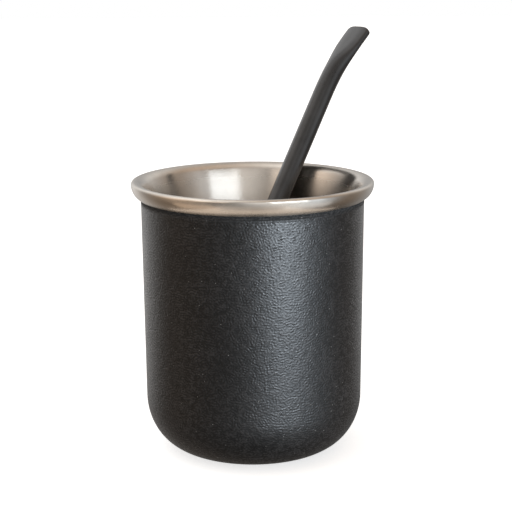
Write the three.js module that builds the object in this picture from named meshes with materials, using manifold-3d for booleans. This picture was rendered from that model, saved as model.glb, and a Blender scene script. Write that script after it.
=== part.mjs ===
// Double-walled steel mate cup with its bent metal drinking straw, a bombilla, standing in it.
// Millimetres, +Z up, origin on the cup's axis at the underside of its base.
// The straw leans to the right (+X) and away (+Y) and rests on the flared lip.
import * as THREE from 'three';
import { mergeVertices } from 'three/addons/utils/BufferGeometryUtils.js';
import Module from 'manifold-3d';

const wasm = await Module();
wasm.setup();

// Sheet metal and how finely round things are cut
const SHEET = 0.6;
const CUP_SIDES = 60;
const STRAW_SIDES = 20;
const HOLE_SIDES = 8;

// Outer shell: a flat base, an elliptical bottom corner and a nearly straight wall
const BASE_FLAT_R = 21.6;
const SHELL_FOOT_R = 36.4;
const SHELL_TOP_R = 37.0;
const SHELL_TOP_Z = 87.2;
const SHELL_CORNER_H = 17.9;
const SEAM_R = 17.0;
const SEAM_WIDTH = 0.6;
const SEAM_DEPTH = 0.25;

// Liner: the bare steel cup inside, whose neck opens in a long curve up to a tight lip that
// rolls over the shell's top. The neck runs from upright to NECK_TURN degrees, the lip on to level.
// Below the roll the skirt turns in by SKIRT_TURN degrees and ends just clear of the shell.
const FLOOR_Z = 4.2;
const FLOOR_FLAT_R = 20.5;
const LINER_CORNER_H = 15.0;
const NECK_R = 43;
const NECK_TURN = 24;
const LIP_R = 3.6;
const CREST_R = 39.15;
const ROLL_R = 1.0;
const ROLL_Z = 89.9;
const LIP_Z = ROLL_Z + ROLL_R - LIP_R;
const NECK_CENTRE_R = CREST_R + (NECK_R - LIP_R) * Math.cos(THREE.MathUtils.degToRad(NECK_TURN));
const NECK_Z = LIP_Z - (NECK_R - LIP_R) * Math.sin(THREE.MathUtils.degToRad(NECK_TURN));
const LINER_R = NECK_CENTRE_R - NECK_R;
const SKIRT_W = 4.5;
const SKIRT_H = 4.9;
const SKIRT_TURN = 65;
const SKIRT_CENTRE_R = CREST_R + ROLL_R - SKIRT_W;

// Straw: a round tube from the strainer in the cup up to a flattened, bent mouthpiece
const TUBE_R = 3.45;
const TUBE_WALL = 0.5;
const STRAINER_R = 4.6;
const STRAINER_LENGTH = 30;
const STRAINER_TAPER = 9;
const FOOT = new THREE.Vector3(-23.04, -4.91, 10.31);
const LEAN = THREE.MathUtils.degToRad(32.15);
const LEAN_AZIMUTH = THREE.MathUtils.degToRad(47.19);
const BEND_START = 123.3;
const BEND_R = 90;
const BEND_ANGLE = THREE.MathUtils.degToRad(16.2);
const TIP_STRAIGHT = 4;
const STRAW_LENGTH = BEND_START + BEND_R * BEND_ANGLE + TIP_STRAIGHT;
const MOUTH_WIDTH = 10.1;
const MOUTH_THICKNESS = 3.3;
const MOUTH_CORNER = 1.6;
const FLATTEN_FROM = STRAW_LENGTH - 21.5;
const FLATTEN_TO = STRAW_LENGTH - 4.5;
const MOUTH_SQUARENESS = 3.2;

// Strainer holes, in rows round the end of the straw
const HOLE_R = 0.9;
const HOLE_ROWS = 4;
const HOLES_PER_ROW = 6;
const FIRST_HOLE_S = 3;
const HOLE_ROW_PITCH = 6.5;

// Points of an elliptical arc in the (radius, height) plane, both ends included
function arc(centreR, centreZ, halfWidth, halfHeight, fromDeg, toDeg, steps) {
  const points = [];
  for (let i = 0; i <= steps; i++) {
    const a = THREE.MathUtils.degToRad(fromDeg + ((toDeg - fromDeg) * i) / steps);
    points.push([centreR + halfWidth * Math.cos(a), centreZ + halfHeight * Math.sin(a)]);
  }
  return points;
}

// Turns a closed (radius, height) profile about the Z axis
function turned(profile, sides) {
  const points = profile.map(([r, z]) => new THREE.Vector2(Math.max(r, 0), z));
  return new THREE.LatheGeometry(points, sides).rotateX(Math.PI / 2);
}

// Merges shared corners and drops the triangles that the poles collapse
function welded(geometry) {
  const bare = geometry.clone();
  bare.deleteAttribute('normal');
  bare.deleteAttribute('uv');
  const merged = mergeVertices(bare, 1e-4);
  const corners = merged.index.array;
  const kept = [];
  for (let i = 0; i < corners.length; i += 3) {
    const [a, b, c] = corners.slice(i, i + 3);
    if (a !== b && b !== c && c !== a) kept.push(a, b, c);
  }
  merged.setIndex(kept);
  return merged;
}

// Geometry to a solid that can be cut, and back
function toSolid(geometry) {
  const closed = welded(geometry);
  return new wasm.Manifold(new wasm.Mesh({
    numProp: 3,
    vertProperties: new Float32Array(closed.attributes.position.array),
    triVerts: new Uint32Array(closed.index.array),
  }));
}

function toGeometry(solid) {
  const mesh = solid.getMesh();
  const geometry = new THREE.BufferGeometry();
  geometry.setAttribute('position', new THREE.BufferAttribute(mesh.vertProperties, 3));
  geometry.setIndex(new THREE.BufferAttribute(mesh.triVerts, 1));
  geometry.computeVertexNormals();
  return geometry;
}

// The black-coated outer shell, open at the top, with the ring seam of its base disc
function outerShell() {
  const cornerW = SHELL_FOOT_R - BASE_FLAT_R;
  const outside = [
    [0, 0],
    [SEAM_R, 0],
    [SEAM_R, SEAM_DEPTH],
    [SEAM_R + SEAM_WIDTH, SEAM_DEPTH],
    [SEAM_R + SEAM_WIDTH, 0],
    ...arc(BASE_FLAT_R, SHELL_CORNER_H, cornerW, SHELL_CORNER_H, -90, 0, 9),
    [SHELL_TOP_R, SHELL_TOP_Z],
  ];
  const inside = [
    [SHELL_TOP_R - SHEET, SHELL_TOP_Z],
    ...arc(BASE_FLAT_R, SHELL_CORNER_H, cornerW - SHEET, SHELL_CORNER_H - SHEET, 0, -90, 7),
    [0, SHEET],
  ];
  return turned([...outside, ...inside], CUP_SIDES);
}

// The steel liner: its underside first, from the axis out to the rolled edge, then its inside
function liner() {
  const cornerW = LINER_R - FLOOR_FLAT_R;
  const cornerZ = FLOOR_Z + LINER_CORNER_H;
  const meetDeg = 180 - NECK_TURN;
  const underside = [
    [0, FLOOR_Z - SHEET],
    ...arc(FLOOR_FLAT_R, cornerZ, cornerW + SHEET, LINER_CORNER_H + SHEET, -90, 0, 6),
    ...arc(NECK_CENTRE_R, NECK_Z, NECK_R - SHEET, NECK_R - SHEET, 180, meetDeg, 5),
    ...arc(CREST_R, LIP_Z, LIP_R - SHEET, LIP_R - SHEET, meetDeg, 90, 5).slice(1),
    ...arc(CREST_R, ROLL_Z, ROLL_R - SHEET, ROLL_R - SHEET, 90, 0, 2).slice(1),
    ...arc(SKIRT_CENTRE_R, ROLL_Z, SKIRT_W - SHEET, SKIRT_H - SHEET, 0, -SKIRT_TURN, 6).slice(1),
  ];
  const inside = [
    ...arc(SKIRT_CENTRE_R, ROLL_Z, SKIRT_W, SKIRT_H, -SKIRT_TURN, 0, 8),
    ...arc(CREST_R, ROLL_Z, ROLL_R, ROLL_R, 0, 90, 4).slice(1),
    ...arc(CREST_R, LIP_Z, LIP_R, LIP_R, 90, meetDeg, 6).slice(1),
    ...arc(NECK_CENTRE_R, NECK_Z, NECK_R, NECK_R, meetDeg, 180, 6).slice(1),
    ...arc(FLOOR_FLAT_R, cornerZ, cornerW, LINER_CORNER_H, 0, -90, 8),
    [0, FLOOR_Z],
  ];
  return turned([...underside, ...inside], CUP_SIDES);
}

// Distances along the straw at which its sections are cut, above the strainer
function tubeStations() {
  const stations = [];
  const taperTop = STRAINER_LENGTH + STRAINER_TAPER;
  for (let i = 0; i <= 3; i++) stations.push(STRAINER_LENGTH + (STRAINER_TAPER * i) / 3);
  for (let i = 1; i <= 3; i++) stations.push(taperTop + ((BEND_START - taperTop) * i) / 3);
  const curved = STRAW_LENGTH - MOUTH_CORNER - BEND_START;
  for (let i = 1; i <= 11; i++) stations.push(BEND_START + (curved * i) / 11);
  for (let i = 1; i <= 3; i++) {
    stations.push(STRAW_LENGTH - MOUTH_CORNER * (1 - Math.sin((i * Math.PI) / 6.4)));
  }
  stations.push(STRAW_LENGTH);
  return stations;
}

// Outside radius of the straight straw before it is bent and flattened
function strawRadius(s) {
  const t = THREE.MathUtils.smoothstep(s, STRAINER_LENGTH, STRAINER_LENGTH + STRAINER_TAPER);
  return THREE.MathUtils.lerp(STRAINER_R, TUBE_R, t);
}

// The straw as a straight hollow turning, closed at the strainer and open at the mouth
function straightStraw() {
  const outsideR = STRAINER_R;
  const insideR = STRAINER_R - TUBE_WALL;
  const stations = tubeStations();
  const outside = [
    ...arc(0, 0, outsideR, outsideR, -90, 0, 5),
    ...stations.map((s) => [strawRadius(s), s]),
  ];
  const inside = [
    ...stations.toReversed().map((s) => [strawRadius(s) - TUBE_WALL, s]),
    ...arc(0, 0, insideR, insideR, 0, -90, 4),
  ];
  return turned([...outside, ...inside], STRAW_SIDES);
}

// Punches the rows of round holes through the strainer's wall
function withStrainerHoles(solid) {
  let punched = solid;
  for (let row = 0; row < HOLE_ROWS; row++) {
    for (let i = 0; i < HOLES_PER_ROW; i++) {
      const turn = ((i + (row % 2) / 2) * 2 * Math.PI) / HOLES_PER_ROW;
      const punch = new THREE.CylinderGeometry(HOLE_R, HOLE_R, STRAINER_R, HOLE_SIDES);
      punch.translate(0, STRAINER_R, 0);
      punch.rotateZ(turn);
      punch.translate(0, 0, FIRST_HOLE_S + row * HOLE_ROW_PITCH);
      punched = punched.subtract(toSolid(punch));
    }
  }
  return punched;
}

// Sign-keeping power that squares a circle's sine or cosine off towards a rounded slot
function squared(value, exponent) {
  return Math.sign(value) * Math.abs(value) ** (2 / exponent);
}

// Flattens the top of the straw into the mouthpiece and rounds its two corners
function flattened(x, y, s) {
  const k = THREE.MathUtils.smootherstep(s, FLATTEN_FROM, FLATTEN_TO);
  if (k === 0) return [x, y];
  const inset = TUBE_R - Math.hypot(x, y);
  const angle = Math.atan2(y, x);
  const exponent = THREE.MathUtils.lerp(2, MOUTH_SQUARENESS, k);
  const past = THREE.MathUtils.clamp((s - STRAW_LENGTH) / MOUTH_CORNER + 1, 0, 1);
  const rounding = MOUTH_CORNER * (1 - Math.sqrt(1 - past * past));
  const halfWidth = THREE.MathUtils.lerp(TUBE_R, MOUTH_WIDTH / 2, k) - rounding;
  const halfThickness = THREE.MathUtils.lerp(TUBE_R, MOUTH_THICKNESS / 2, k);
  return [
    (halfWidth - inset) * squared(Math.cos(angle), exponent),
    (halfThickness - inset) * squared(Math.sin(angle), exponent),
  ];
}

// Lays the straight straw on its path: a leaning line, then an arc further over, then the tip
function bent(geometry) {
  const ahead = new THREE.Vector3(Math.sin(LEAN_AZIMUTH), Math.cos(LEAN_AZIMUTH), 0);
  const up = new THREE.Vector3(0, 0, 1);
  const along = ahead.clone().multiplyScalar(Math.sin(LEAN)).addScaledVector(up, Math.cos(LEAN));
  const over = ahead.clone().multiplyScalar(Math.cos(LEAN)).addScaledVector(up, -Math.sin(LEAN));
  const across = over.clone().cross(along);
  const position = geometry.attributes.position;
  for (let i = 0; i < position.count; i++) {
    const s = position.getZ(i);
    const [x, y] = flattened(position.getX(i), position.getY(i), s);
    const turn = THREE.MathUtils.clamp((s - BEND_START) / BEND_R, 0, BEND_ANGLE);
    const past = Math.max(s - BEND_START - BEND_R * BEND_ANGLE, 0);
    const tangent = along.clone().multiplyScalar(Math.cos(turn)).addScaledVector(over, Math.sin(turn));
    const normal = over.clone().multiplyScalar(Math.cos(turn)).addScaledVector(along, -Math.sin(turn));
    const point = FOOT.clone()
      .addScaledVector(along, Math.min(s, BEND_START) + BEND_R * Math.sin(turn))
      .addScaledVector(over, BEND_R * (1 - Math.cos(turn)))
      .addScaledVector(tangent, past)
      .addScaledVector(across, x)
      .addScaledVector(normal, y);
    position.setXYZ(i, point.x, point.y, point.z);
  }
  geometry.computeVertexNormals();
  return geometry;
}

const blackCoat = new THREE.MeshStandardMaterial({ color: 0x242427, roughness: 0.55, metalness: 0 });
const satinSteel = new THREE.MeshStandardMaterial({ color: 0xb8aea3, roughness: 0.3, metalness: 1 });
const blackMetal = new THREE.MeshStandardMaterial({ color: 0x2b2a2a, roughness: 0.35, metalness: 0.6 });

function named(name, geometry, material) {
  const mesh = new THREE.Mesh(geometry, material);
  mesh.name = name;
  return mesh;
}

const mateCup = new THREE.Group();
mateCup.add(
  named('outer_shell', outerShell(), blackCoat),
  named('liner', liner(), satinSteel),
  named('bombilla', bent(toGeometry(withStrainerHoles(toSolid(straightStraw())))), blackMetal),
);

export default mateCup;
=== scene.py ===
"""A double-walled steel mate cup and the bent metal straw that stands in it.

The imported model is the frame: three nodes in metres, +Z up, with the cup's axis on Z and its base
at z = 0. Each node is replaced by a finer surface of the same sizes, worked out with numpy, and
each surface has a procedural finish: textured black coat, spun satin steel, satin black metal.
"""

import math

import bpy
import numpy as np
from bpy.props import FloatProperty, FloatVectorProperty, IntProperty, PointerProperty
from bpy.types import Operator, Panel, PropertyGroup
from mathutils import Matrix, Vector


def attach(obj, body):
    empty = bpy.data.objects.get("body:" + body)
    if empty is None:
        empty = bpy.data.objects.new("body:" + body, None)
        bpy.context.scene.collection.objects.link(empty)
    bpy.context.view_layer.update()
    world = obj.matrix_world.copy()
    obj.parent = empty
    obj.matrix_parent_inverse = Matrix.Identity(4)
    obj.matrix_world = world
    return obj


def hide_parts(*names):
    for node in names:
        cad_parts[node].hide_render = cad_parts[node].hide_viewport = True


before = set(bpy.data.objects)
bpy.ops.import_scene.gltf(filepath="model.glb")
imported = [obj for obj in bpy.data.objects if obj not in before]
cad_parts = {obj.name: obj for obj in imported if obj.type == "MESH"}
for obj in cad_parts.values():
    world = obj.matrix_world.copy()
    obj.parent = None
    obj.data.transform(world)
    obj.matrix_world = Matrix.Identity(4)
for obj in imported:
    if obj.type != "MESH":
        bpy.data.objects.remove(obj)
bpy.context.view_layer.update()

bl_info = {
    "name": "Mate cup with bombilla",
    "version": (1, 0, 0),
    "blender": (4, 5, 0),
    "location": "View3D > Sidebar > Mate cup",
    "description": "Builds a coated steel mate cup, its spun liner and its metal straw",
    "category": "Add Mesh",
}

MM = 0.001

# The photograph's camera: 512 pixels wide, standing in front of the cup and looking a little down
PHOTO_SIDE = 512
SENSOR_MM = 36.0
FOCAL_PIXELS = 1376.0
CAMERA_PLACE = Vector((0.0, -450.0 * MM, 164.86 * MM))
CAMERA_PITCH = math.radians(12.53)
CAMERA_YAW = math.radians(0.13)
CAMERA_ROLL = math.radians(-0.35)
CAMERA_CLIP = 10.0 * MM

# Edges sharper than this stay sharp in a piece's shading
SHARP_ANGLE = math.radians(50.0)

# The shell's wall under the rim: how far its close sections reach below and above the coat's edge,
# half the height over which the coat steps in, and the faint rings below that
CLOSE_BELOW = 1.5 * MM
CLOSE_ABOVE = 0.7 * MM
STEP_HALF = 0.12 * MM
RING_DROPS = (0.30 * MM, 0.80 * MM)
RING_WIDTH = 0.1 * MM
RING_SHARE = 0.45

# The straw: the middle of its round foot, how square its mouthpiece is, and its strainer's holes
STRAW_FOOT = np.array([-23.04, -4.91, 10.31]) * MM
MOUTH_SQUARENESS = 3.2
HOLE_ROWS = 4
HOLES_ROUND = 6
FIRST_HOLE = 3.0 * MM
HOLE_ROW_PITCH = 6.5 * MM

# The straw's grid: its sections over the strainer, its sides, the steps of its round foot, and how
# many cells a hole and the easing round it reach, along the straw and round it
SECTION_STEP = 0.25 * MM
STRAW_SIDES = 96
FOOT_STEPS = 20
HOLE_REACH = (4, 3)
EASE_REACH = (7, 6)

# The coat: its relief, where its texture fades and turns matt at its edge, its pimples and swells
# as shares of its grain, its drift, and the pitch and colour of its specks, which are painted
# glints
COAT_RELIEF = 0.13 * MM
COAT_ROUGHNESS = 0.42
TEXTURE_FADE = 0.6 * MM
MATT_BELOW = 1.2 * MM
MATT_ABOVE = 0.6 * MM
PIMPLE_SHARE = 0.45
SWELL_SHARE = 2.0
COAT_DRIFT = 16.0 * MM
GLINT_SPECK_PITCH = 2.6 * MM
PAINTED_GLINT_COLOUR = (0.35, 0.33, 0.30)

# The steel: its relief, the heights between which it gets more polished, and its marks
STEEL_RELIEF = 0.012 * MM
STEEL_ROUGHNESS = 0.32
POLISH_GAIN = 0.10
POLISH_FROM = 84.0 * MM
POLISH_FULL = 88.5 * MM
CLOUD_SPACING = 7.0 * MM
SCUFF_SPACING = 0.5 * MM
STEEL_STRETCH = 0.9
STRETCH_TURN = 0.25

# The straw's metal: its relief, gloss and marks
STRAW_RELIEF = 0.006 * MM
STRAW_ROUGHNESS = 0.30
STRAW_METALLIC = 0.65
STRAW_DRIFT = 9.0 * MM
STRAW_MARKS = 0.45 * MM

COATING_IOR = 1.5
BLACK = (0.0, 0.0, 0.0)
WHITE = (1.0, 1.0, 1.0)

# The floor: half its side in metres, its two tones and how much it glows
FLOOR_HALF = 3.0
FLOOR_DRIFT = 40.0 * MM
FLOOR_TONES = ((0.80, 0.80, 0.80), (0.86, 0.86, 0.86))
FLOOR_GLOW = 0.7


def length(name, description, millimetres):
    """A size property, kept in metres."""
    return FloatProperty(
        name=name,
        description=description,
        default=millimetres * MM,
        min=0.0,
        unit="LENGTH",
        subtype="DISTANCE",
        precision=5,
    )


def angle(name, description, degrees):
    """An angle property, kept in radians."""
    return FloatProperty(
        name=name,
        description=description,
        default=math.radians(degrees),
        unit="ROTATION",
        subtype="ANGLE",
    )


def colour(name, description, rgb):
    """A linear colour property."""
    return FloatVectorProperty(
        name=name, description=description, default=rgb, min=0.0, max=1.0, size=3, subtype="COLOR"
    )


class ShellSizes(PropertyGroup):
    """The coated outer shell."""

    sheet: length("Sheet", "Thickness of the sheet metal", 0.6)
    base_flat: length("Flat of the base", "Radius of the flat underside", 21.6)
    foot: length("Foot radius", "Radius where the bottom corner meets the wall", 36.4)
    top: length("Top radius", "Radius at the top of the wall", 37.0)
    height: length("Height", "Height of the top edge, under the liner's skirt", 87.2)
    corner: length("Corner height", "Height of the elliptical bottom corner", 17.9)
    seam_radius: length("Seam radius", "Inner radius of the ring seam in the underside", 17.0)
    seam_width: length("Seam width", "Width of the ring seam", 0.6)
    seam_depth: length("Seam depth", "Depth of the ring seam", 0.25)
    coat_edge: length("Coat edge", "Height at which the thick coat ends below the rim", 84.25)
    coat_step: length("Coat step", "How far the coat stands proud at its edge", 0.09)


class LinerSizes(PropertyGroup):
    """The bare steel liner: its neck opens in a long curve up to a tight, rolled lip."""

    floor: length("Floor height", "Height of the floor inside the cup", 4.2)
    floor_flat: length("Flat of the floor", "Radius of the flat floor", 20.5)
    corner: length("Corner height", "Height of the corner between floor and wall", 15.0)
    neck: length("Neck curve", "Radius of the long curve in which the wall opens", 43.0)
    neck_turn: angle("Neck turn", "Angle from upright at which the neck becomes the lip", 24.0)
    lip: length("Lip curve", "Radius of the tight curve from the neck to the crest", 3.6)
    crest: length("Crest radius", "Radius of the lip's highest ring", 39.15)
    roll: length("Roll radius", "Radius of the lip's rolled edge", 1.0)
    roll_height: length("Roll height", "Height of the middle of the rolled edge", 89.9)
    skirt_width: length("Skirt width", "Half width of the skirt's ellipse", 4.5)
    skirt: length("Skirt height", "Half height of the skirt's ellipse", 4.9)
    skirt_turn: angle("Skirt turn", "How far the skirt turns in from upright", 65.0)


class StrawSizes(PropertyGroup):
    """The bombilla: strainer, tube, bend and flattened mouthpiece."""

    radius: length("Tube radius", "Outside radius of the round tube", 3.45)
    wall: length("Wall", "Thickness of the tube's wall", 0.5)
    strainer_radius: length("Strainer radius", "Outside radius of the strainer", 4.6)
    strainer: length("Strainer length", "Length of the strainer up to its taper", 30.0)
    taper: length("Taper length", "Length of the taper above the strainer", 9.0)
    hole_radius: length("Hole radius", "Radius of one strainer hole", 0.9)
    lean: angle("Lean", "How far the straw leans from upright", 32.15)
    lean_azimuth: angle("Lean direction", "Direction of the lean, from +Y towards +X", 47.19)
    straight: length("Bend height", "Distance along the straw at which it bends", 123.3)
    bend_radius: length("Bend radius", "Radius of the bend", 90.0)
    bend: angle("Bend", "Angle of the bend", 16.2)
    tip: length("Straight tip", "Straight length above the bend", 4.0)
    mouth_width: length("Mouth width", "Width of the flattened mouthpiece", 10.1)
    mouth_thickness: length("Mouth thickness", "Thickness of the flattened mouthpiece", 3.3)
    mouth_corner: length("Mouth corner", "Radius of the mouthpiece's two corners", 1.6)
    flatten: length("Flattened length", "Distance from the tip at which flattening starts", 21.5)
    flattened: length("Fully flat length", "Distance from the tip that is fully flat", 4.5)


class Finishes(PropertyGroup):
    """Colours and grain of the three finishes."""

    coat: colour("Coat", "Colour of the textured coat", (0.017, 0.0155, 0.015))
    coat_grain: length("Coat grain", "Spacing of the ridges of the textured coat", 0.86)
    steel: colour("Steel", "Colour of the bare steel", (0.66, 0.61, 0.55))
    steel_line: length("Spinning line", "Spacing of the fine lines that spinning leaves", 0.35)
    straw: colour("Straw", "Colour of the straw's black metal", (0.061, 0.061, 0.062))


class MateCup(PropertyGroup):
    """Everything that a user may change."""

    shell: PointerProperty(type=ShellSizes, name="Shell")
    liner: PointerProperty(type=LinerSizes, name="Liner")
    straw: PointerProperty(type=StrawSizes, name="Straw")
    finishes: PointerProperty(type=Finishes, name="Finishes")
    sides: IntProperty(
        name="Sides", description="Sections round the cup", default=192, min=24, max=384
    )


# Surfaces


def elliptical_arc(centre, half_width, half_height, start, end, steps):
    """Rows (radius, height) of an elliptical arc: the centre plus (half width times cos a, half
    height times sin a), with a in degrees from start to end, both included."""
    a = np.radians(np.linspace(start, end, steps + 1))
    return np.stack(
        [centre[0] + half_width * np.cos(a), centre[1] + half_height * np.sin(a)], axis=1
    )


def round_arc(centre, radius, start, end, steps):
    """Rows (radius, height) of a round arc: an elliptical one whose half width and half height
    are both its radius."""
    return elliptical_arc(centre, radius, radius, start, end, steps)


def smooth(x, low, high):
    """0 below low, 1 above high, and 3 t squared less 2 t cubed between them."""
    t = np.clip((x - low) / (high - low), 0.0, 1.0)
    return t * t * (3.0 - 2.0 * t)


def turned(profile, sides):
    """Turns a profile about Z: point (i, j) is (r cos a, r sin a, z), with (r, z) row i of the
    profile and a the j-th of equal steps round the circle. Both ends of the profile are on the
    axis, and each is one pole. It runs outwards below and inwards above, so faces point out."""
    a = np.arange(sides) * (2.0 * np.pi / sides)
    radius, height = profile[1:-1].T[:, :, None]
    grid = np.stack([radius * np.cos(a), radius * np.sin(a), height + 0.0 * a], axis=-1)
    poles = np.array([[0.0, 0.0, profile[0, 1]], [0.0, 0.0, profile[-1, 1]]])
    return np.concatenate([grid.reshape(-1, 3), poles])


def turned_faces(rows, sides):
    """Quads between neighbouring rings, as (rows - 1, sides, 4), and the two poles' triangles."""
    ring = np.arange(rows * sides).reshape(rows, sides)
    ahead = np.roll(ring, -1, axis=1)
    quads = np.stack([ring[:-1], ahead[:-1], ahead[1:], ring[1:]], axis=-1)
    low = np.stack([np.full(sides, rows * sides), ahead[0], ring[0]], axis=1)
    high = np.stack([np.full(sides, rows * sides + 1), ring[-1], ahead[-1]], axis=1)
    return quads, np.concatenate([low, high])


def add_piece(name, points, quads, triangles, node, material):
    """Makes a mesh object in the frame that rides on the one body and stands for a CAD node."""
    mesh = bpy.data.meshes.new(name)
    mesh.vertices.add(len(points))
    mesh.vertices.foreach_set("co", points.astype(np.float32).ravel())
    mesh.loops.add(quads.size + triangles.size)
    mesh.loops.foreach_set("vertex_index", np.concatenate([quads.ravel(), triangles.ravel()]))
    starts = np.concatenate(
        [np.arange(len(quads)) * 4, quads.size + np.arange(len(triangles)) * 3]
    )
    mesh.polygons.add(len(starts))
    mesh.polygons.foreach_set("loop_start", starts)
    mesh.update(calc_edges=True)
    if mesh.validate():
        raise RuntimeError(f"{name} had faces that Blender could not keep")
    mesh.shade_smooth()
    mesh.set_sharp_from_angle(angle=SHARP_ANGLE)
    mesh.materials.append(material)
    piece = bpy.data.objects.new(name, mesh)
    bpy.context.scene.collection.objects.link(piece)
    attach(piece, "root")
    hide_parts(node)
    return piece


def shell_profile(size):
    """The shell's closed profile. Underside: flat, with a round groove of depth (1 - t squared)
    squared, t running from -1 to 1 across the seam. Wall: a straight line from foot to top, which
    steps in by the coat's thickness above the coat's edge and has two faint rings there."""
    base = np.unique(
        np.concatenate(
            [
                np.linspace(0.0, size.base_flat, 24),
                size.seam_radius + np.linspace(0.0, size.seam_width, 13),
            ]
        )
    )
    across = (base - size.seam_radius) / size.seam_width * 2.0 - 1.0
    groove = size.seam_depth * np.clip(1.0 - across**2, 0.0, 1.0) ** 2
    underside = np.stack([base, groove], axis=1)
    width = size.foot - size.base_flat
    centre = (size.base_flat, size.corner)
    corner = elliptical_arc(centre, width, size.corner, -90.0, 0.0, 48)[1:]
    close_from, close_to = size.coat_edge - CLOSE_BELOW, size.coat_edge + CLOSE_ABOVE
    height = np.concatenate(
        [
            np.linspace(size.corner, close_from, 40)[1:],
            np.linspace(close_from, close_to, 45)[1:],
            np.linspace(close_to, size.height, 6)[1:],
        ]
    )
    along = (height - size.corner) / (size.height - size.corner)
    step = smooth(height, size.coat_edge - STEP_HALF, size.coat_edge + STEP_HALF)
    rings = sum(
        np.exp(-(((height - size.coat_edge + drop) / RING_WIDTH) ** 2)) for drop in RING_DROPS
    )
    radius = size.foot + (size.top - size.foot) * along
    radius += size.coat_step * (RING_SHARE * rings - step)
    wall = np.stack([radius, height], axis=1)
    inside = np.concatenate(
        [
            [[size.top - size.coat_step - size.sheet, size.height]],
            elliptical_arc(centre, width - size.sheet, size.corner - size.sheet, 0.0, -90.0, 24),
            [[0.0, size.sheet]],
        ]
    )
    return np.concatenate([underside, corner, wall, inside])


def liner_surface(size, offset):
    """One face of the liner from the floor's middle out to the end of its skirt, moved back by
    offset along its normal: flat floor, elliptical corner, upright wall, neck and lip of two
    round arcs that meet at the neck's turn, round roll and a skirt along an ellipse that turns
    in under the lip. The neck's middle is the lip's middle plus (neck - lip) times
    (cos turn, -sin turn), and the wall stands one neck radius inside it."""
    lip_middle = (size.crest, size.roll_height + size.roll - size.lip)
    reach = size.neck - size.lip
    neck_middle = (
        lip_middle[0] + reach * math.cos(size.neck_turn),
        lip_middle[1] - reach * math.sin(size.neck_turn),
    )
    meeting = 180.0 - math.degrees(size.neck_turn)
    wall = neck_middle[0] - size.neck
    corner_width = wall - size.floor_flat
    corner_middle = (size.floor_flat, size.floor + size.corner)
    skirt_middle = (size.crest + size.roll - size.skirt_width, size.roll_height)
    skirt_end = -math.degrees(size.skirt_turn)
    outwards = np.linspace(0.0, size.floor_flat, 20)
    upwards = np.linspace(corner_middle[1], neck_middle[1], 10)[1:-1]
    floor = np.stack([outwards, np.full_like(outwards, size.floor - offset)], axis=1)
    corner = elliptical_arc(
        corner_middle, corner_width + offset, size.corner + offset, -90.0, 0.0, 36
    )
    upright = np.stack([np.full_like(upwards, wall + offset), upwards], axis=1)
    neck = round_arc(neck_middle, size.neck - offset, 180.0, meeting, 40)
    lip = round_arc(lip_middle, size.lip - offset, meeting, 90.0, 24)
    roll = round_arc((size.crest, size.roll_height), size.roll - offset, 90.0, 0.0, 16)
    skirt = elliptical_arc(
        skirt_middle, size.skirt_width - offset, size.skirt - offset, 0.0, skirt_end, 30
    )
    return np.concatenate([floor, corner[1:], upright, neck, lip[1:], roll[1:], skirt[1:]])


def liner_profile(size, sheet):
    """The liner's closed profile: its underside from the axis to the skirt's end, a half-round
    edge there, and its inside back to the axis."""
    underside = liner_surface(size, sheet)
    inside = liner_surface(size, 0.0)
    middle = (underside[-1] + inside[-1]) / 2.0
    start = 180.0 - math.degrees(size.skirt_turn)
    edge = round_arc(middle, sheet / 2.0, start, start + 180.0, 12)[1:-1]
    return np.concatenate([underside, edge, inside[::-1]])


def straw_length(size):
    """Distance along the straw of its tip: the straight line, the bend's arc and the tip."""
    return size.straight + size.bend_radius * size.bend + size.tip


def straw_stations(size):
    """Distances along the straw of its sections above the foot: even and close over the strainer,
    so that the holes fall on them, then closer again over the bend and the mouthpiece."""
    tip = straw_length(size)
    return np.concatenate(
        [
            np.arange(round(size.strainer / SECTION_STEP)) * SECTION_STEP,
            np.linspace(size.strainer, size.strainer + size.taper, 15)[:-1],
            np.linspace(size.strainer + size.taper, size.straight, 24)[:-1],
            np.linspace(size.straight, tip - size.mouth_corner, 90)[:-1],
            tip - size.mouth_corner * (1.0 - np.sin(np.linspace(0.0, 0.5 * np.pi, 14)[:-1])),
        ]
    )


def straw_profile(size):
    """The straight straw's closed profile (radius, distance along it): half-round foot, outside
    wall, half-round edge at the mouth, inside wall and the inside of the foot. The radius eases
    from the strainer's to the tube's over the taper."""
    along = straw_stations(size)
    ease = smooth(along, size.strainer, size.strainer + size.taper)
    radius = size.strainer_radius + (size.radius - size.strainer_radius) * ease
    tip = straw_length(size)
    half = size.wall / 2.0
    along = np.minimum(along, tip - half)
    outer, inner = size.strainer_radius, size.strainer_radius - size.wall
    foot = round_arc((0.0, 0.0), outer, -90.0, 0.0, FOOT_STEPS)[:-1]
    foot_inside = round_arc((0.0, 0.0), inner, 0.0, -90.0, FOOT_STEPS)[1:]
    edge = round_arc((size.radius - half, tip - half), half, 0.0, 180.0, 10)[1:-1]
    outside = np.stack([radius, along], axis=1)
    inside = np.stack([radius - size.wall, along], axis=1)[::-1]
    return np.concatenate([foot, outside, edge, inside, foot_inside])


def hole_places(first_row, sides):
    """Row and column, on the straw's grid, of the middle of each strainer hole. Every second
    row of holes is turned by half a pitch."""
    rows = first_row + np.round(
        (FIRST_HOLE + np.arange(HOLE_ROWS) * HOLE_ROW_PITCH) / SECTION_STEP
    ).astype(int)
    pitch = sides // HOLES_ROUND
    columns = np.arange(HOLES_ROUND) * pitch
    turn = (np.arange(HOLE_ROWS) % 2) * (pitch // 2)
    return np.repeat(rows, HOLES_ROUND), (columns[None, :] + turn[:, None]).ravel() % sides


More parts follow.
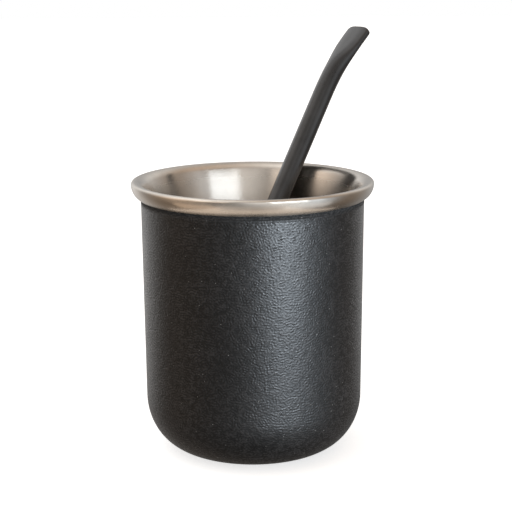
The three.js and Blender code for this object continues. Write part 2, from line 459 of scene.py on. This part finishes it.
def strainer_holes(size, rows, sides, first_row):
    """How far each grid point moves along and round the straw to make its holes round, in metres
    of arc, and which grid cells are cut away. Inside a block of cells round a hole, a point at
    (a, b) times the block's reach moves to the circle at the same share of the hole's radius; the
    move dies out over the cells beyond."""
    shift = np.zeros((rows, sides, 2))
    cut = np.zeros((rows, sides), bool)
    step_round = 2.0 * np.pi * size.strainer_radius / sides
    a, b = np.meshgrid(
        np.arange(-EASE_REACH[0], EASE_REACH[0] + 1),
        np.arange(-EASE_REACH[1], EASE_REACH[1] + 1),
        indexing="ij",
    )
    share = np.maximum(np.abs(a) / HOLE_REACH[0], np.abs(b) / HOLE_REACH[1])
    flat = np.stack([a * SECTION_STEP, b * step_round], axis=-1)
    distance = np.maximum(np.hypot(flat[..., 0], flat[..., 1]), 1e-9)
    round_place = flat / distance[..., None] * (share * size.hole_radius)[..., None]
    edge = min(EASE_REACH[0] / HOLE_REACH[0], EASE_REACH[1] / HOLE_REACH[1])
    hold = 1.0 - smooth(share, 1.0, edge)
    move = (round_place - flat) * hold[..., None]
    row, column = hole_places(first_row, sides)
    at_row = row[:, None, None] + a
    at_column = (column[:, None, None] + b) % sides
    shift[at_row, at_column] = move
    cell_a, cell_b = np.meshgrid(
        np.arange(-HOLE_REACH[0], HOLE_REACH[0]),
        np.arange(-HOLE_REACH[1], HOLE_REACH[1]),
        indexing="ij",
    )
    cut[row[:, None, None] + cell_a, (column[:, None, None] + cell_b) % sides] = True
    return shift, cut


def squared(value, exponent):
    """A circle's sine or cosine squared off towards a rounded slot, with its sign kept."""
    return np.sign(value) * np.abs(value) ** (2.0 / exponent)


def bent_straw(size, radius, turn, along):
    """Places points given by radius, turn about the straw and distance along it. The section goes
    from a circle to a squared ellipse over the flattened length, and its width shrinks by a
    quarter circle at the tip. The path is a leaning line, then an arc further over, then the
    line on: foot + along min(s, S) + R sin t along + R (1 - cos t) over, t = (s - S) / R."""
    tip = straw_length(size)
    t = np.clip((along - tip + size.flatten) / (size.flatten - size.flattened), 0.0, 1.0)
    flat = t * t * t * (t * (6.0 * t - 15.0) + 10.0)
    upper = along > size.strainer + size.taper
    inset = np.where(upper, size.radius - radius, 0.0)
    past = np.clip((along - tip) / size.mouth_corner + 1.0, 0.0, 1.0)
    rounding = size.mouth_corner * (1.0 - np.sqrt(1.0 - past**2))
    exponent = 2.0 + (MOUTH_SQUARENESS - 2.0) * flat
    half_width = size.radius + (size.mouth_width / 2.0 - size.radius) * flat - rounding
    half_thickness = size.radius + (size.mouth_thickness / 2.0 - size.radius) * flat
    x = np.where(upper, half_width - inset, radius) * squared(np.cos(turn), exponent)
    y = np.where(upper, half_thickness - inset, radius) * squared(np.sin(turn), exponent)
    ahead = np.array([math.sin(size.lean_azimuth), math.cos(size.lean_azimuth), 0.0])
    upwards = np.array([0.0, 0.0, 1.0])
    line = ahead * math.sin(size.lean) + upwards * math.cos(size.lean)
    over = ahead * math.cos(size.lean) - upwards * math.sin(size.lean)
    across = np.cross(over, line)
    bend = np.clip((along - size.straight) / size.bend_radius, 0.0, size.bend)[..., None]
    beyond = np.maximum(along - size.straight - size.bend_radius * size.bend, 0.0)[..., None]
    straight = np.minimum(along, size.straight)[..., None]
    return (
        STRAW_FOOT
        + line * (straight + size.bend_radius * np.sin(bend))
        + over * (size.bend_radius * (1.0 - np.cos(bend)))
        + (line * np.cos(bend) + over * np.sin(bend)) * beyond
        + across * x[..., None]
        + (over * np.cos(bend) - line * np.sin(bend)) * y[..., None]
    )


def edges_of(faces):
    """Directed edges of a list of quads, as (start, end) rows."""
    return np.stack([faces, np.roll(faces, -1, axis=1)], axis=-1).reshape(-1, 2)


def open_edges(faces, points):
    """Directed edges of the quads that no other quad runs the other way."""
    edges = edges_of(faces)
    forward = edges[:, 0] * points + edges[:, 1]
    backward = edges[:, 1] * points + edges[:, 0]
    return edges[~np.isin(forward, backward)]


def straw_surface(size):
    """The straw's points, quads and triangles: the turned profile, with the strainer's cells
    that lie in a hole left out of both walls and a ring of quads between the walls in each. The
    foot's pole isn't on the grid, so the outside wall starts one row before the foot's steps
    end, and the inside wall runs the same rows backwards."""
    profile = straw_profile(size)
    rows = len(profile) - 2
    sides = STRAW_SIDES
    turn = np.arange(sides) * (2.0 * np.pi / sides) + np.zeros((rows, 1))
    radius = profile[1:-1, 0:1] + np.zeros(sides)
    along = profile[1:-1, 1:2] + np.zeros(sides)
    first_outside = FOOT_STEPS - 1
    shift, cut = strainer_holes(size, rows, sides, first_outside)
    strainer_rows = round(size.strainer / SECTION_STEP)
    outside = np.arange(first_outside, first_outside + strainer_rows)
    inside = rows - 1 - outside
    shift[inside] = shift[outside]
    along = along + shift[..., 0]
    turn = turn + shift[..., 1] / size.strainer_radius
    grid = bent_straw(size, radius, turn, along).reshape(-1, 3)
    poles = bent_straw(size, np.zeros(2), np.zeros(2), profile[[0, -1], 1])
    points = np.concatenate([grid, poles])
    quads, triangles = turned_faces(rows, sides)
    gone = cut[:-1].copy()
    gone[inside[1:]] = cut[outside[:-1]]
    kept = quads[~gone]
    wall_rows = outside[0] * sides, (outside[-1] + 1) * sides
    outer = kept[((kept >= wall_rows[0]) & (kept < wall_rows[1])).all(axis=1)]
    rim = open_edges(outer, len(points))
    row, column = rim // sides, rim % sides
    in_holes = ((row > outside[0]) & (row < outside[-1])).all(axis=1)
    start, end = rim[in_holes].T

    def opposite(index):
        """The point of the other wall at the same place along and round the straw."""
        return (rows - 1 - index // sides) * sides + index % sides

    walls = np.stack([end, start, opposite(start), opposite(end)], axis=1)
    return points, np.concatenate([kept, walls]), triangles


# Finishes


class Wire:
    """A node's output that takes part in Python arithmetic. Each operator adds a Math node."""

    def __init__(self, finish, socket):
        self.finish = finish
        self.socket = socket

    def _with(self, operation, *values):
        return self.finish.add("ShaderNodeMath", {"operation": operation}, dict(enumerate(values)))

    def __add__(self, other):
        return self._with("ADD", self, other)

    def __radd__(self, other):
        return self._with("ADD", other, self)

    def __sub__(self, other):
        return self._with("SUBTRACT", self, other)

    def __rsub__(self, other):
        return self._with("SUBTRACT", other, self)

    def __mul__(self, other):
        return self._with("MULTIPLY", self, other)

    def __rmul__(self, other):
        return self._with("MULTIPLY", other, self)

    def __pow__(self, other):
        return self._with("POWER", self, other)

    def exp(self):
        """e to the power of this value."""
        return self._with("EXPONENT", self)

    def between(self, low, high):
        """0 below low and 1 above high, with an eased ramp between them. The node's first three
        sockets are the value, low and high."""
        settings = {"interpolation_type": "SMOOTHSTEP"}
        return self.finish.add("ShaderNodeMapRange", settings, {0: self, 1: low, 2: high})


class Finish:
    """A node tree that is built from Python: a material, or the world."""

    def __init__(self, owner):
        owner.use_nodes = True
        self.owner = owner
        self.tree = owner.node_tree
        self.tree.nodes.clear()

    def add(self, kind, settings=(), values=(), output=0):
        """Adds a node: its settings first, then the value or the link of each socket."""
        node = self.tree.nodes.new(kind)
        for key, value in dict(settings).items():
            setattr(node, key, value)
        for key, value in dict(values).items():
            if isinstance(value, Wire):
                self.tree.links.new(value.socket, node.inputs[key])
            else:
                node.inputs[key].default_value = value
        return Wire(self, node.outputs[output]) if len(node.outputs) else None

    def vector(self, operation, values, output=0):
        """Adds a Vector Math node."""
        return self.add("ShaderNodeVectorMath", {"operation": operation}, values, output)

    def place(self):
        """The point on the piece, in metres in the frame."""
        return self.add("ShaderNodeTexCoord", output="Object")

    def axes(self, place):
        """The three coordinates of a point, as x, y and z."""
        split = self.add("ShaderNodeSeparateXYZ", {}, {0: place}).socket.node.outputs
        return [Wire(self, axis) for axis in split]

    def noise(self, place, spacing, detail=2.0, roughness=0.5):
        """Noise from 0 to 1 whose blobs are about spacing metres across."""
        values = {
            "Vector": place,
            "Scale": 1.0 / spacing,
            "Detail": detail,
            "Roughness": roughness,
        }
        return self.add("ShaderNodeTexNoise", {"noise_dimensions": "3D"}, values, "Fac")

    def ridges(self, place, spacing):
        """Isotropic Gabor noise from 0 to 1: ridges spacing metres apart that run every way."""
        values = {"Vector": place, "Scale": 0.5 / spacing, "Frequency": 2.0, "Anisotropy": 0.0}
        return self.add("ShaderNodeTexGabor", {"gabor_type": "3D"}, values, "Value")

    def blend(self, factor, first, second):
        """A colour between first and second. A Mix node's colours are its sockets 6 and 7, and
        the mixed colour is its output 2."""
        settings = {"data_type": "RGBA", "blend_type": "MIX"}
        values = {0: factor, 6: _opaque(first), 7: _opaque(second)}
        return self.add("ShaderNodeMix", settings, values, 2)

    def bump(self, height, distance):
        """The normal of a relief that is distance metres deep where height is 1."""
        return self.add("ShaderNodeBump", {}, {"Height": height, "Distance": distance})

    def shade(self, **values):
        """Ends a material in a Principled shader."""
        sockets = {key.replace("_", " "): value for key, value in values.items()}
        surface = self.add("ShaderNodeBsdfPrincipled", {}, sockets)
        self.add("ShaderNodeOutputMaterial", {}, {"Surface": surface})
        return self.owner


def _opaque(value):
    """A colour with its alpha, or a link as it is."""
    return value if isinstance(value, Wire) else (*value, 1.0)


def lightened(rgb, factor):
    """A colour times a factor, no channel above 1."""
    return tuple(min(channel * factor, 1.0) for channel in rgb)


def textured_coat(finishes, coat_edge):
    """Black powder coat: ridges a little under a millimetre apart that wander like worms, broader
    swells and fine pimples, and colour and gloss that drift slowly. Its colour carries painted
    shade, black in the low places of the ridges and swells, and a few specks painted bright as
    glints. Above the coat's edge, under the rim, it is smooth and matt."""
    finish = Finish(bpy.data.materials.new("textured_black_coat"))
    place = finish.place()
    grain = finishes.coat_grain
    ridges = finish.ridges(place, grain)
    pimples = finish.noise(place, grain * PIMPLE_SHARE, detail=1.0)
    swells = finish.noise(place, grain * SWELL_SHARE, detail=1.0)
    _, _, height = finish.axes(place)
    textured = 1.0 - height.between(coat_edge - TEXTURE_FADE, coat_edge)
    matt = height.between(coat_edge - MATT_BELOW, coat_edge + MATT_ABOVE)
    drift = finish.noise(place, COAT_DRIFT, detail=3.0, roughness=0.6)
    glint_distances = finish.add(
        "ShaderNodeTexVoronoi",
        {"feature": "F1", "distance": "EUCLIDEAN"},
        {"Vector": place, "Scale": 1.0 / GLINT_SPECK_PITCH, "Randomness": 1.0},
        "Distance",
    )
    glint_speck = 1.0 - glint_distances.between(0.04, 0.08)
    coat = tuple(finishes.coat)
    base = finish.blend(drift.between(0.35, 0.7), lightened(coat, 0.8), lightened(coat, 1.25))
    # Painted shade: black in the low places of the ridges and swells, the coat's own colour on
    # their tops
    base = finish.blend((ridges + swells * 0.5).between(0.6, 1.0), BLACK, base)
    # Painted glints: a few specks lifted to a light grey in the coat's colour
    base = finish.blend(glint_speck * 0.35, base, PAINTED_GLINT_COLOUR)
    roughness = COAT_ROUGHNESS + (drift - 0.5) * 0.10 - (ridges - 0.5) * 0.4
    roughness = roughness - glint_speck * 0.1 + matt * 0.4
    normal = finish.bump((ridges + swells * 0.6 + pimples * 0.2) * textured, COAT_RELIEF)
    return finish.shade(
        Base_Color=base, Roughness=roughness, Normal=normal, Metallic=0.0, IOR=COATING_IOR
    )


def spun_steel(finishes):
    """Satin steel spun on a lathe: fine rings that depend on radius and height alone, faint
    cloudy marks, and a sheen stretched across the rings."""
    finish = Finish(bpy.data.materials.new("spun_satin_steel"))
    place = finish.place()
    x, y, z = finish.axes(place)
    radius = (x * x + y * y) ** 0.5
    rings_place = finish.add("ShaderNodeCombineXYZ", {}, {0: radius, 2: z})
    rings = finish.noise(rings_place, finishes.steel_line, detail=4.0, roughness=0.65)
    clouds = finish.noise(place, CLOUD_SPACING, detail=4.0, roughness=0.6)
    scuffs = finish.noise(place, SCUFF_SPACING, detail=2.0, roughness=0.6)
    steel = tuple(finishes.steel)
    base = finish.blend(clouds.between(0.3, 0.75), lightened(steel, 0.93), lightened(steel, 1.04))
    roughness = STEEL_ROUGHNESS - z.between(POLISH_FROM, POLISH_FULL) * POLISH_GAIN
    roughness = roughness + (rings - 0.5) * 0.12 + (clouds - 0.5) * 0.12 + (scuffs - 0.5) * 0.06
    normal = finish.bump(rings * 0.8 + scuffs * 0.2, STEEL_RELIEF)
    return finish.shade(
        Base_Color=base,
        Roughness=roughness,
        Normal=normal,
        Metallic=1.0,
        Anisotropic=STEEL_STRETCH,
        Anisotropic_Rotation=STRETCH_TURN,
    )


def satin_black_metal(finishes):
    """Black plated metal: even satin with a faint drift of gloss and hair-fine marks."""
    finish = Finish(bpy.data.materials.new("satin_black_metal"))
    place = finish.place()
    drift = finish.noise(place, STRAW_DRIFT, detail=3.0, roughness=0.6)
    marks = finish.noise(place, STRAW_MARKS, detail=2.0, roughness=0.55)
    metal = tuple(finishes.straw)
    base = finish.blend(drift.between(0.3, 0.7), lightened(metal, 0.88), lightened(metal, 1.12))
    return finish.shade(
        Base_Color=base,
        Roughness=STRAW_ROUGHNESS + (drift - 0.5) * 0.12 + (marks - 0.5) * 0.08,
        Normal=finish.bump(marks, STRAW_RELIEF),
        Metallic=STRAW_METALLIC,
        IOR=COATING_IOR,
    )


# Operators


class MATE_OT_outer_shell(Operator):
    """Turn the coated outer shell about the cup's axis."""

    bl_idname = "mate.outer_shell"
    bl_label = "Outer shell"

    def execute(self, context):
        cup = context.scene.mate_cup
        profile = shell_profile(cup.shell)
        quads, triangles = turned_faces(len(profile) - 2, cup.sides)
        add_piece(
            "coated_shell",
            turned(profile, cup.sides),
            quads.reshape(-1, 4),
            triangles,
            "outer_shell",
            textured_coat(cup.finishes, cup.shell.coat_edge),
        )
        return {"FINISHED"}


class MATE_OT_liner(Operator):
    """Turn the steel liner, with its flared lip and skirt, about the cup's axis."""

    bl_idname = "mate.liner"
    bl_label = "Liner"

    def execute(self, context):
        cup = context.scene.mate_cup
        profile = liner_profile(cup.liner, cup.shell.sheet)
        quads, triangles = turned_faces(len(profile) - 2, cup.sides)
        add_piece(
            "steel_liner",
            turned(profile, cup.sides),
            quads.reshape(-1, 4),
            triangles,
            "liner",
            spun_steel(cup.finishes),
        )
        return {"FINISHED"}


class MATE_OT_bombilla(Operator):
    """Build the bombilla: strainer with its holes, tube, bend and flattened mouthpiece."""

    bl_idname = "mate.bombilla"
    bl_label = "Bombilla"

    def execute(self, context):
        cup = context.scene.mate_cup
        points, quads, triangles = straw_surface(cup.straw)
        add_piece(
            "black_bombilla",
            points,
            quads,
            triangles,
            "bombilla",
            satin_black_metal(cup.finishes),
        )
        return {"FINISHED"}


def compass(azimuth, elevation):
    """Unit vector at that azimuth, in degrees from the camera's side (-Y) towards +X."""
    a, e = math.radians(azimuth), math.radians(elevation)
    return Vector((math.sin(a) * math.cos(e), -math.cos(a) * math.cos(e), math.sin(e)))


# Studio

# Tints of the lights
WARM = (1.0, 0.75, 0.55)
CREAM = (1.0, 0.88, 0.77)
NEUTRAL = (1.0, 1.0, 1.0)
COOL = (0.8, 0.9, 1.0)

# Broad soft lights, each a glow in the world: azimuth, elevation, sharpness, strength, tint
GLOWS = (
    (0.0, 60.0, 6.0, 0.25, CREAM),
    (8.0, 20.0, 16.0, 1.05, NEUTRAL),
    (8.0, -10.0, 16.0, 0.65, NEUTRAL),
    (34.0, -20.0, 16.0, 0.55, NEUTRAL),
    (62.0, 20.0, 16.0, 0.5, COOL),
    (62.0, -10.0, 16.0, 0.9, COOL),
    (62.0, -40.0, 16.0, 0.3, NEUTRAL),
    (90.0, 60.0, 6.0, 0.55, WARM),
    (105.0, 15.0, 8.0, 0.2, CREAM),
    (105.0, -25.0, 8.0, 0.15, WARM),
    (150.0, 28.0, 10.0, 0.7, NEUTRAL),
    (150.0, -10.0, 10.0, 0.35, NEUTRAL),
    (210.0, 28.0, 10.0, 0.8, NEUTRAL),
    (210.0, -10.0, 10.0, 0.65, NEUTRAL),
    (240.0, -50.0, 4.0, 0.2, WARM),
    (270.0, 60.0, 6.0, 1.4, NEUTRAL),
    (-75.0, 15.0, 8.0, 0.8, WARM),
    (-30.0, -25.0, 8.0, 0.2, NEUTRAL),
)

# Soft boxes that face the cup: azimuth, elevation, width and height in degrees, distance in
# metres, watts, tint, and the piece that it lights
SOFT_BOXES = (
    (34.0, 20.0, 34.0, 18.0, 1.0, 2.4, COOL, "steel_liner"),
    (34.0, 5.0, 34.0, 12.0, 1.0, 1.0, NEUTRAL, "steel_liner"),
    (60.0, 10.0, 16.0, 24.0, 1.0, 0.2, COOL, "steel_liner"),
    (-40.0, 25.0, 30.0, 24.0, 1.0, 0.7, CREAM, "steel_liner"),
    (0.0, -90.0, 74.0, 74.0, 0.5, 1.3, CREAM, "steel_liner"),
    (0.0, -40.0, 60.0, 24.0, 0.5, 0.15, CREAM, "steel_liner"),
    (60.0, -35.0, 40.0, 24.0, 0.5, 0.1, NEUTRAL, "steel_liner"),
    (-60.0, -35.0, 40.0, 24.0, 0.5, 0.12, WARM, "steel_liner"),
    (32.0, -1.0, 30.0, 12.0, 0.5, 2.4, COOL, "coated_shell"),
    (32.0, -12.0, 30.0, 12.0, 0.5, 0.6, COOL, "coated_shell"),
    (-137.0, 0.0, 56.0, 40.0, 0.6, 0.55, NEUTRAL, "coated_shell"),
    (150.0, 0.0, 40.0, 40.0, 0.6, 0.3, NEUTRAL, "coated_shell"),
    (0.0, -90.0, 110.0, 110.0, 0.3, 0.2, NEUTRAL, "coated_shell"),
    (-140.0, 25.0, 40.0, 60.0, 0.5, 0.5, NEUTRAL, "black_bombilla"),
    (60.0, 10.0, 40.0, 40.0, 0.5, 0.15, CREAM, "black_bombilla"),
)

# Height on the cup's axis of the point that the soft boxes face
LIT_HEIGHT = 70.0 * MM


class MATE_OT_studio(Operator):
    """Lay the pale floor and set the soft light and the photograph's camera."""

    bl_idname = "mate.studio"
    bl_label = "Studio"

    def execute(self, context):
        scene = context.scene
        self.lay_floor(scene)
        self.light(scene)
        self.hang_soft_boxes(scene)
        self.aim_camera(scene)
        scene.view_settings.view_transform = "Standard"
        scene.view_settings.look = "None"
        return {"FINISHED"}

    def lay_floor(self, scene):
        """A pale floor that glows a little and takes the cup's soft shadow from the world's
        light. It is hidden from reflections and throws no light back on the cup."""
        finish = Finish(bpy.data.materials.new("pale_floor"))
        place = finish.place()
        tone = finish.noise(place, FLOOR_DRIFT)
        base = finish.blend(tone, *FLOOR_TONES)
        diffuse = finish.add("ShaderNodeBsdfDiffuse", {}, {"Color": base})
        lamp = {"Color": _opaque(WHITE), "Strength": FLOOR_GLOW}
        glow = finish.add("ShaderNodeEmission", {}, lamp)
        surface = finish.add("ShaderNodeAddShader", {}, {0: diffuse, 1: glow})
        finish.add("ShaderNodeOutputMaterial", {}, {"Surface": surface})
        mesh = bpy.data.meshes.new("floor")
        signs = ((-1, -1), (1, -1), (1, 1), (-1, 1))
        corners = [(x * FLOOR_HALF, y * FLOOR_HALF, 0.0) for x, y in signs]
        mesh.from_pydata(corners, [], [(0, 1, 2, 3)])
        mesh.materials.append(finish.owner)
        floor = bpy.data.objects.new("floor", mesh)
        floor.visible_glossy = False
        floor.visible_diffuse = False
        floor.visible_shadow = False
        scene.collection.objects.link(floor)

    def light(self, scene):
        """The world: white where the camera looks at it, and soft glows for what it lights."""
        finish = Finish(bpy.data.worlds.new("studio"))
        direction = finish.add("ShaderNodeTexCoord", output="Generated")
        total, *others = (self.glow(finish, direction, *row) for row in GLOWS)
        for other in others:
            total = finish.vector("ADD", {0: total, 1: other})
        looked_at = finish.add("ShaderNodeLightPath", output="Is Camera Ray")
        seen = finish.blend(looked_at, total, WHITE)
        background = finish.add("ShaderNodeBackground", {}, {"Color": seen, "Strength": 1.0})
        finish.add("ShaderNodeOutputWorld", {}, {"Surface": background})
        scene.world = finish.owner

    def glow(self, finish, direction, azimuth, elevation, sharpness, strength, tint):
        """Light from round one direction: the tint times the strength times e to the power of
        sharpness times (the cosine of the angle off that direction, less 1)."""
        facing = {0: direction, 1: compass(azimuth, elevation)}
        cosine = finish.vector("DOT_PRODUCT", facing, "Value")
        falling = ((cosine - 1.0) * sharpness).exp() * strength
        return finish.vector("SCALE", {0: tint, "Scale": falling})

    def hang_soft_boxes(self, scene):
        """Area lights that face a point on the cup's axis. Light linking keeps each to its own
        piece."""
        for azimuth, elevation, wide, high, distance, watts, tint, piece in SOFT_BOXES:
            data = bpy.data.lights.new("soft_box", "AREA")
            data.shape = "RECTANGLE"
            data.size = 2.0 * distance * math.tan(math.radians(wide / 2.0))
            data.size_y = 2.0 * distance * math.tan(math.radians(high / 2.0))
            data.energy = watts
            data.color = tint
            box = bpy.data.objects.new("soft_box", data)
            towards = compass(azimuth, elevation)
            box.location = Vector((0.0, 0.0, LIT_HEIGHT)) + towards * distance
            box.rotation_euler = (-towards).to_track_quat("-Z", "Y").to_euler()
            lit = bpy.data.collections.new(f"{piece}_light")
            lit.objects.link(bpy.data.objects[piece])
            box.light_linking.receiver_collection = lit
            scene.collection.objects.link(box)

    def aim_camera(self, scene):
        """The photograph's camera: pitch and yaw give the view's own axis, and roll turns the
        picture about it."""
        sin_yaw, cos_yaw = math.sin(CAMERA_YAW), math.cos(CAMERA_YAW)
        sin_pitch, cos_pitch = math.sin(CAMERA_PITCH), math.cos(CAMERA_PITCH)
        view = Vector((sin_yaw * cos_pitch, cos_yaw * cos_pitch, -sin_pitch))
        right = Vector((cos_yaw, -sin_yaw, 0.0))
        up = right.cross(view)
        turned_right = right * math.cos(CAMERA_ROLL) + up * math.sin(CAMERA_ROLL)
        turned_up = up * math.cos(CAMERA_ROLL) - right * math.sin(CAMERA_ROLL)
        axes = Matrix((turned_right, turned_up, -view)).transposed()
        data = bpy.data.cameras.new("camera")
        data.sensor_width = SENSOR_MM
        data.lens = FOCAL_PIXELS / PHOTO_SIDE * SENSOR_MM
        data.clip_start = CAMERA_CLIP
        camera = bpy.data.objects.new("camera", data)
        camera.matrix_world = Matrix.Translation(CAMERA_PLACE) @ axes.to_4x4()
        scene.collection.objects.link(camera)
        scene.camera = camera


class MATE_PT_sidebar(Panel):
    """Lists the pieces of the cup in the 3D view's sidebar."""

    bl_label = "Mate cup"
    bl_idname = "MATE_PT_sidebar"
    bl_space_type = "VIEW_3D"
    bl_region_type = "UI"
    bl_category = "Mate cup"

    def draw(self, context):
        for operator in OPERATORS:
            self.layout.operator(operator.bl_idname)
        cup = context.scene.mate_cup
        for group in (cup.shell, cup.liner, cup.straw, cup.finishes):
            box = self.layout.box()
            for name in group.bl_rna.properties.keys():
                if name not in ("rna_type", "name"):
                    box.prop(group, name)


OPERATORS = (MATE_OT_outer_shell, MATE_OT_liner, MATE_OT_bombilla, MATE_OT_studio)
CLASSES = (ShellSizes, LinerSizes, StrawSizes, Finishes, MateCup, *OPERATORS, MATE_PT_sidebar)


def register():
    """Registers the classes and gives the scene its sizes and finishes."""
    for cls in CLASSES:
        bpy.utils.register_class(cls)
    bpy.types.Scene.mate_cup = PointerProperty(type=MateCup)


def unregister():
    """Takes back what register does."""
    del bpy.types.Scene.mate_cup
    for cls in reversed(CLASSES):
        bpy.utils.unregister_class(cls)


def main():
    """Builds every piece and the stage."""
    register()
    bpy.ops.mate.outer_shell()
    bpy.ops.mate.liner()
    bpy.ops.mate.bombilla()
    bpy.ops.mate.studio()


if __name__ == "__main__":
    main()
